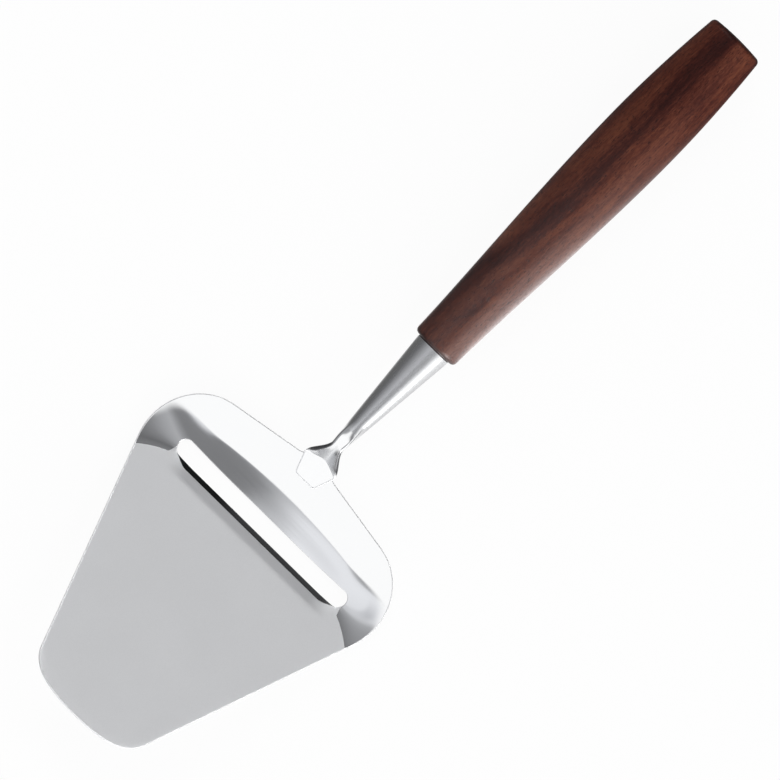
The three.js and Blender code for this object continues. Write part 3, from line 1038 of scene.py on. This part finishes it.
@dataclass
class Stem:
    """The forged stem: a thin hexagonal foot, a bowed web with dull flanks painted dark as shade, a narrow
    neck, a round taper and the grooved tang."""

    foot_end_half_width: float = 3.2
    foot_half_width: float = 5.25
    foot_corner_x: float = 5.6
    foot_thickness: float = 1.4
    foot_edge_round: float = 0.2
    foot_front_round: float = 0.2
    foot_corner_round: Pair = (0.9, 0.7)
    web_x: float = 8.0
    web_bow: float = 1.8
    web_edge_round: float = 1.45
    flank_start: Pair = (6.2, 7.2)
    flank_end: Pair = (11.2, 13.0)
    flank_edge: Pair = (-0.2, 0.2)
    neck_x: float = 12.4
    neck_edge_round: float = 0.75
    neck_end_x: float = 17.5
    round_start_x: float = 14.0
    round_x: float = 20.5
    neck_half_width: float = 1.85
    neck_half_height: float = 2.7
    stem_length: float = 46.8
    stem_end_radius: float = 5.15
    stem_chamfer: float = 0.4
    tang_radius: float = 2.5
    tang_length: float = 76.0
    tang_chamfer: float = 1.0
    groove_count: int = 6
    groove_pitch: float = 10.0
    groove_width: float = 2.0
    groove_depth: float = 0.4
    seat_gap: float = 0.3
    seat_left: float = 0.04
    shoulder_gap: float = 0.3
    shoulder_left: float = 0.04
    front_rows: int = 6
    body_rows: tuple[int, int, int] = (22, 50, 60)
    taper_rows: int = 30
    flat_points: int = 26
    corner_points: int = 6
    side_points: int = 5
    sharp_angle: float = 24.0
    finish: PolishedSteel = PolishedSteel()

    def levels(self, tail_top: float) -> Triple:
        """Heights above the middle of the tail's sheet.

        Args:
            tail_top: top of the tail's sheet.

        Returns:
            Bottom of the foot, top of the foot and the stem's axis.
        """
        bottom = tail_top + self.seat_gap
        return tail_top + self.seat_left, bottom + self.foot_thickness, bottom + self.neck_half_height

    def half_width(self, x: np.ndarray) -> np.ndarray:
        """Half width along the stem: a hexagon's end with round corners, hollow sides, then a taper."""
        hexagon = lerp(self.foot_end_half_width, self.foot_half_width, x / self.foot_corner_x)
        reach, depth = self.foot_corner_round
        hexagon = hexagon - depth * (1 - np.sqrt(1 - (1 - np.clip(x / reach, 0, 1)) ** 2))
        hollow = smoothstep(x, self.foot_corner_x, self.neck_x)
        fan = lerp(self.foot_half_width, self.neck_half_width, hollow)
        share = (x - self.neck_x) / (self.stem_length - self.neck_x)
        taper = lerp(self.neck_half_width, self.stem_end_radius, share)
        return np.where(x < self.foot_corner_x, hexagon, np.where(x > self.neck_x, taper, fan))

    def half_height(self, x: np.ndarray) -> np.ndarray:
        """Half height: level along the neck, where it is taller than wide, and round at the handle."""
        share = np.maximum(x - self.neck_end_x, 0.0) / (self.stem_length - self.neck_end_x)
        return lerp(self.neck_half_height, self.stem_end_radius, share)

    def stations(self) -> np.ndarray:
        """Places of the sections along the stem, closest at the foot's round front edge.

        Returns:
            Distances from the foot's front to the stem's chamfer, in one column.
        """
        front = self.foot_front_round * (1 - np.cos(quarter(self.front_rows)))[:-1]
        stops = (self.foot_front_round, self.foot_corner_x, self.neck_x, self.round_x)
        body = [np.linspace(*ends)[:-1] for ends in zip(stops, stops[1:], self.body_rows)]
        taper = np.linspace(self.round_x, self.stem_length - self.stem_chamfer, self.taper_rows)
        return np.concatenate([front, *body, taper])[:, None]

    def section(self) -> tuple[np.ndarray, np.ndarray]:
        """A square with round corners and a circle, with matching points. The square's corners are
        marked by quarter turns, which a section then draws at its own radius.

        Returns:
            Square's place and corner direction, and the circle, as Y and Z by point.
        """
        turn = quarter(self.corner_points)
        arc = np.stack([np.cos(turn), np.sin(turn)], axis=-1)
        ones = np.ones(len(turn))
        right = np.concatenate([np.stack([ones, ones], -1), arc], axis=-1)
        left = np.concatenate([np.stack([-ones, ones], -1), arc[::-1] * (-1.0, 1.0)], axis=-1)
        across = np.linspace(1.0, -1.0, self.flat_points + 2)[1:-1]
        flat = np.zeros((self.flat_points, 4))
        flat[:, 0], flat[:, 1], flat[:, 3] = across, 1.0, 1.0
        upper = np.concatenate([right, flat, left])
        side = np.zeros((self.side_points, 4))
        side[:, 0], side[:, 2] = -1.0, -1.0
        side[:, 1] = np.linspace(1.0, -1.0, self.side_points + 2)[1:-1]
        half = np.concatenate([upper, side])
        square = np.concatenate([half, -half])
        angle = np.linspace(math.pi / 4, math.pi * 3 / 4, len(upper))
        down = np.linspace(math.pi * 3 / 4, math.pi * 5 / 4, self.side_points + 2)[1:-1]
        angle = np.concatenate([angle, down, angle + math.pi, down + math.pi])
        return square, np.stack([np.cos(angle), np.sin(angle)], axis=-1)

    def rings(self, tail_top: float) -> tuple[np.ndarray, np.ndarray]:
        """Sections along the stem: a flat bar in the foot that turns into an ellipse past the neck, then
        circles along the tang. The sections bow towards the handle in their middle, most where the web
        starts to rise: by one minus the square of the place across.

        Args:
            tail_top: top of the tail's sheet.

        Returns:
            Points by section and place, in millimetres of the grip's frame, and the share of painted flank
            shade there.
        """
        bottom_z, foot_top, axis_z = self.levels(tail_top)
        square, circle = self.section()
        line = self.stations()
        rise = np.clip((line - self.foot_corner_x) / (self.neck_x - self.foot_corner_x), 0.0, 1.0)
        bowed = np.clip(np.minimum(line / self.foot_corner_x, 1.0 - rise), 0.0, 1.0)
        x = line + bowed * self.web_bow * (1 - square[:, 0] ** 2)
        to_round = smoothstep(x, self.round_start_x, self.round_x)
        wide = self.half_width(x)
        to_web = smoothstep(x, self.foot_corner_x, self.web_x)
        edge = lerp(self.foot_edge_round, self.web_edge_round, to_web)
        edge = lerp(edge, self.neck_edge_round, smoothstep(x, self.web_x, self.neck_x))
        flat_y = square[:, 0] * (wide - edge) + square[:, 2] * edge
        y = lerp(flat_y, circle[:, 0] * wide, to_round)
        top = lerp(foot_top, axis_z + self.half_height(x), rise)
        short = np.maximum(self.foot_front_round - x, 0.0)
        top = top - self.foot_front_round + np.sqrt(self.foot_front_round**2 - short**2)
        bottom = lerp(bottom_z, axis_z - self.half_height(x), to_round)
        middle = (top + bottom) / 2
        tall = (top - bottom) / 2
        flat_z = square[:, 1] * (tall - edge) + square[:, 3] * edge
        z = middle + lerp(flat_z, circle[:, 1] * tall, to_round)
        tang = turned(*self.tang_profile(), np.arctan2(circle[:, 1], circle[:, 0]), axis_z)
        # Share of painted shade on the web's side walls, between the foot and the neck.
        side = smoothstep(np.abs(square[:, 2]), *self.flank_edge)
        side = np.where(np.abs(square[:, 0]) < 1.0, 0.0, side)
        flank_shade = side * smoothstep(x, *self.flank_start) * (1 - smoothstep(x, *self.flank_end))
        points = np.concatenate([np.stack([x, y, z], axis=-1), tang])
        return points, np.concatenate([flank_shade, 0 * tang[..., 0]])

    def tang_profile(self) -> tuple[np.ndarray, np.ndarray]:
        """Profile from the stem's chamfer to the end of the tang, with shallow grooves for the glue.

        Returns:
            Distances along the stem and radii.
        """
        face = self.stem_length + self.shoulder_gap - self.shoulder_left
        tail = self.stem_length + self.tang_length
        first = tail - self.groove_count * self.groove_pitch
        width, deep = self.groove_width, self.groove_depth
        groove = np.array([0.0, deep, width - deep, width])
        depth = np.array([0.0, deep, deep, 0.0])
        grooves = first + self.groove_pitch * np.arange(self.groove_count)[:, None] + groove
        reach = [face - self.stem_chamfer / 2, face, face, *grooves.ravel(), tail - self.tang_chamfer, tail]
        grooved = np.tile(self.tang_radius - depth, self.groove_count)
        rim = self.stem_end_radius - self.stem_chamfer / 2
        radius = [self.stem_end_radius, rim, self.tang_radius, *grooved, self.tang_radius]
        return np.array(reach), np.array([*radius, self.tang_radius - self.tang_chamfer])

    def build(self, grip: LocalFrame, tail_top: float) -> bpy.types.Object:
        """Makes the stem and dresses it.

        Args:
            grip: frame of the grip.
            tail_top: top of the tail's sheet in that frame.

        Returns:
            The piece.
        """
        rings, flank_shade = self.rings(tail_top)
        piece = Skin.loft(grip.to_row(rings)).piece("stem_forging", self.sharp_angle)
        mark(piece, "flank_shade", np.append(flank_shade, [0.0, 0.0]))
        piece.data.materials.append(self.finish.material(grip))
        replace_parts(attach(piece, BODY), "stem")
        return piece


@dataclass
class Handle:
    """The turned handle: a rounded front rim, a long swelling to the belly, a fall to the butt, a bore."""

    length: float = 110.0
    front_radius: float = 6.75
    rim_radius: float = 1.6
    belly_x: float = 76.0
    belly_radius: float = 9.7
    butt_radius: float = 8.1
    butt_corner_radius: float = 1.7
    butt_crown: float = 0.3
    front_swell: float = 0.25
    fall_start: float = 0.4
    fall_end: float = 0.8
    fall_fullness: float = 0.4
    bore_radius: float = 3.7
    bore_depth: float = 77.7
    pole_radius: float = 0.05
    sides: int = 128
    long_steps: int = 90
    short_steps: int = 10
    sharp_angle: float = 40.0
    finish: Rosewood = Rosewood()

    def profile(self) -> np.ndarray:
        """Profile from the bottom of the bore, over the front rim, the belly and the butt, to the axis.

        Returns:
            Distances along the handle and radii.
        """
        corner_x = self.length - self.butt_crown
        butt_x = self.length - self.butt_crown - self.butt_corner_radius
        butt_flat = self.butt_radius - self.butt_corner_radius
        swell_x, swell_r = self.belly_x / 3, lerp(self.front_radius, self.belly_radius, self.front_swell)
        face = (0.0, self.front_radius - self.rim_radius)
        front = (self.rim_radius, self.front_radius)
        belly = (self.belly_x, self.belly_radius)
        butt = (butt_x, self.butt_radius)
        corner_end = (corner_x, butt_flat)
        full = (2 * swell_x, self.belly_radius)
        fall_from = (lerp(self.belly_x, butt_x, self.fall_start), self.belly_radius)
        fall_r = lerp(self.butt_radius, self.belly_radius, self.fall_fullness)
        fall_to = (lerp(self.belly_x, butt_x, self.fall_end), fall_r)
        pole = (self.length, self.pole_radius)
        rim = curve([face, (0.0, self.front_radius), front], self.short_steps)
        swelling = curve([front, (swell_x, swell_r), full, belly], self.long_steps)
        fall = curve([belly, fall_from, fall_to, butt], self.long_steps // 2)
        corner = curve([butt, (corner_x, self.butt_radius), corner_end], self.short_steps)
        crown = curve([corner_end, (self.length, butt_flat / 2), pole], self.short_steps)
        bottom = [(self.bore_depth, self.pole_radius), (self.bore_depth, self.bore_radius)]
        bore = [*bottom, (0.0, self.bore_radius)]
        return np.concatenate([bore, rim, swelling[1:], fall[1:], corner[1:], crown[1:]])

    def build(self, grip: LocalFrame, front_x: float, axis_z: float) -> bpy.types.Object:
        """Turns the profile round the grip's axis and dresses it.

        Args:
            grip: frame of the grip.
            front_x: where the handle starts along the grip.
            axis_z: height of the axis in the grip's frame.

        Returns:
            The piece.
        """
        reach, radius = self.profile().T
        angle = np.linspace(0.0, 2 * math.pi, self.sides, endpoint=False)
        rings = turned(front_x + reach, radius, angle, axis_z)
        piece = Skin.loft(grip.to_row(rings)).piece("turned_handle", self.sharp_angle)
        piece.data.materials.append(self.finish.material(grip, (front_x, 0.0, axis_z), self.length))
        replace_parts(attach(piece, BODY), "handle")
        return piece


@dataclass(frozen=True)
class Softbox:
    """A soft-edged light panel, or a flag that darkens the room where its radiance is below zero. Its
    place and half size are on a map of the sky, where the zenith is at the middle, the horizon is at
    distance 1, and a direction lies at the tangent of half its angle."""

    centre: Pair
    half: Pair
    soft: Pair
    radiance: float


@dataclass
class Studio:
    """The pale floor, the soft light and the camera over the slicer."""

    image_pixels: int = 780
    photo_scale: float = 0.2534
    photo_middle: Pair = (-5.41, 0.54)
    photo_roll: float = -45.5
    focus_height: float = 10.0
    lens: float = 600.0
    sensor: float = 36.0
    clip_shares: Pair = (0.01, 10.0)
    floor_half: float = 3000.0
    floor_drop: float = 0.02
    floor_colour: Triple = (0.9, 0.9, 0.9)
    floor_white: float = 0.94
    card_edge: Pair = (4.0, 14.0)
    card_end: Pair = (10.0, 100.0)
    card_level: float = 0.17
    glow_start: Pair = (7.0, 17.0)
    glow_end: Pair = (30.0, 110.0)
    glow_level: float = 2.5
    walls: tuple[Pair, ...] = (
        (-180, 0.56),
        (-179, 0.23),
        (-165, 0.23),
        (-148, 0.46),
        (-90, 0.26),
        (-35, 0.16),
        (20, 0.25),
        (90, 0.36),
        (112, 0.44),
        (128, 0.72),
        (150, 0.84),
        (179, 0.92),
        (180, 0.56),
    )
    crown: Pair = (0.045, 0.105)
    crown_level: float = 1.12
    wall_foot: Pair = (0.3, 0.75)
    foot_level: float = 0.16
    room_tint: Triple = (0.985, 0.995, 1.03)
    least_lift: float = 0.05
    panels: tuple[Softbox, ...] = (
        Softbox((-0.11, 0.075), (0.03, 0.035), (0.02, 0.04), -0.2),
        Softbox((-0.48, -0.78), (0.30, 0.26), (0.05, 0.18), 9.0),
        Softbox((-0.12, -0.74), (0.09, 0.32), (0.04, 0.16), 1.0),
        Softbox((0.06, -0.46), (0.10, 0.22), (0.04, 0.06), 0.85),
        Softbox((0.50, 0.60), (0.25, 0.25), (0.10, 0.10), 2.0),
        Softbox((0.28, 0.24), (0.06, 0.12), (0.03, 0.03), 5.2),
        Softbox((0.28, -0.24), (0.06, 0.12), (0.03, 0.03), 5.2),
        Softbox((-0.74, -0.12), (0.28, 0.34), (0.06, 0.20), 0.92),
    )

    def camera(self) -> bpy.types.Object:
        """Long lens straight over the slicer, turned as the picture is.

        Returns:
            The camera.
        """
        data = bpy.data.cameras.new("camera")
        data.lens = self.lens
        data.sensor_width = self.sensor
        width = self.image_pixels * self.photo_scale * MM
        distance = width * self.lens / self.sensor
        data.clip_start, data.clip_end = (share * distance for share in self.clip_shares)
        camera = bpy.data.objects.new("camera", data)
        x, y = self.photo_middle
        camera.location = (x * MM, y * MM, self.focus_height * MM + distance)
        camera.rotation_euler = (0.0, 0.0, math.radians(self.photo_roll))
        bpy.context.scene.collection.objects.link(camera)
        bpy.context.scene.camera = camera
        return camera

    def floor(self) -> bpy.types.Object:
        """Pale floor that looks white to the eye and keeps a soft shadow. In reflections it is a card:
        white on one side by the blade and the stem, brighter there by the handle's front, dark elsewhere.

        Returns:
            The floor.
        """
        reach = self.floor_half * MM
        corners = np.array([(-1, -1), (1, -1), (1, 1), (-1, 1)], float) * reach
        points = np.concatenate([corners, np.full((4, 1), -self.floor_drop * MM)], axis=1)
        mesh = bpy.data.meshes.new("floor")
        mesh.from_pydata(points, [], [(0, 1, 2, 3)])
        floor = bpy.data.objects.new("floor", mesh)
        bpy.context.scene.collection.objects.link(floor)
        material, graph = new_material("pale_floor")
        path = graph.add("ShaderNodeLightPath").outputs
        seen = graph.math("MAXIMUM", path["Is Camera Ray"], path["Is Transmission Ray"])
        matt = graph.add("ShaderNodeBsdfDiffuse", {"Color": (*self.floor_colour, 1.0)}).outputs[0]
        pale = graph.cover(graph.math("MULTIPLY", seen, self.floor_white), matt, graph.glow(1.0))
        along, across, _ = graph.split(graph.place(ROW))
        side = graph.span(across, *self.card_edge, 1.0, 0.0)
        near = graph.span(along, *self.card_end, 1.0, 0.0)
        glow = graph.span(along, *self.glow_start, 0.0, self.glow_level)
        glow = graph.math("MULTIPLY", glow, graph.span(along, *self.glow_end, 1.0, 0.0))
        lit = graph.math("MULTIPLY_ADD", near, self.floor_white - self.card_level, glow)
        card = graph.glow(graph.math("MULTIPLY_ADD", side, lit, self.card_level))
        shader = graph.cover(path["Is Glossy Ray"], pale, card)
        graph.add("ShaderNodeOutputMaterial", {"Surface": shader})
        mesh.materials.append(material)
        return floor

    def sky(self) -> None:
        """Studio light: grey walls that differ by azimuth and darken towards the floor, soft panels, and a
        bright crown at the zenith. It is white where the camera looks past the floor."""
        world = bpy.data.worlds.new("studio")
        world.use_nodes = True
        bpy.context.scene.world = world
        graph = Graph(world.node_tree)
        x, y, z = graph.split(graph.add("ShaderNodeTexCoord").outputs["Generated"])
        lift = graph.math("MAXIMUM", graph.math("ADD", z, 1.0), self.least_lift)
        flat = graph.join(graph.math("DIVIDE", x, lift), graph.math("DIVIDE", y, lift))
        turn = graph.math("DIVIDE", graph.math("ARCTAN2", y, x), 2 * math.pi)
        stops = [(azimuth / 360 + 0.5, (level,) * 3) for azimuth, level in self.walls]
        walls = graph.ramp(graph.math("ADD", turn, 0.5), stops)
        distance = graph.vector("LENGTH", flat)
        total = graph.mix(graph.span(distance, *self.wall_foot), walls, (self.foot_level,) * 3)
        total = graph.vector("MULTIPLY", total, self.room_tint)
        for panel in self.panels:
            offset = graph.vector("SUBTRACT", flat, (*panel.centre, 0.0))
            lit = panel.radiance
            parts = graph.split(graph.vector("ABSOLUTE", offset))
            for part, half, soft in zip(parts, panel.half, panel.soft):
                lit = graph.math("MULTIPLY", graph.span(part, half - soft, half + soft, 1.0, 0.0), lit)
            total = graph.vector("ADD", total, lit)
        high = graph.span(distance, *self.crown, 1.0, 0.0)
        total = graph.mix(high, total, (self.crown_level,) * 3)
        room = graph.add("ShaderNodeBackground", {"Color": total, "Strength": 1.0}).outputs[0]
        white = graph.add("ShaderNodeBackground", {"Color": WHITE, "Strength": 1.0}).outputs[0]
        seen = graph.add("ShaderNodeLightPath").outputs["Is Camera Ray"]
        graph.add("ShaderNodeOutputWorld", {"Surface": graph.cover(seen, room, white)})

    def build(self) -> None:
        """Sets up the camera, the floor and the light."""
        self.camera()
        self.floor()
        self.sky()
        bpy.context.scene.view_settings.view_transform = "Standard"


def dress_hidden(nodes: Mapping[str, bpy.types.Object]) -> None:
    """Gives the welds and the glue, which stay as they are packed, their finishes.

    Args:
        nodes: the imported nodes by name.
    """
    weld, glue = WELD_STEEL.material(ROW), CURED_GLUE.material(ROW)
    for name, material in (("spot_weld_front", weld), ("spot_weld_rear", weld), ("tang_glue", glue)):
        nodes[name].data.materials.clear()
        nodes[name].data.materials.append(material)
        log.info("kept %s", name)


def main() -> None:
    """Builds the slicer piece by piece, then its studio."""
    logging.basicConfig(level=logging.INFO, format="%(message)s")
    blade, stem, handle = Blade(), Stem(), Handle()
    plate = blade.plate_frame(frame["record"])
    foot = (blade.foot_front_x, 0.0, blade.tail_height(blade.foot_front_x))
    grip = plate.pitched(foot, blade.crank)
    axis_z = stem.levels(blade.half)[2]
    front_x = stem.stem_length + stem.shoulder_gap
    made = [blade.build(plate), stem.build(grip, blade.half), handle.build(grip, front_x, axis_z)]
    for piece in made:
        log.info("made %s with %d faces", piece.name, len(piece.data.polygons))
    dress_hidden(frame["nodes"])
    Studio().build()


if __name__ == "__main__":
    main()
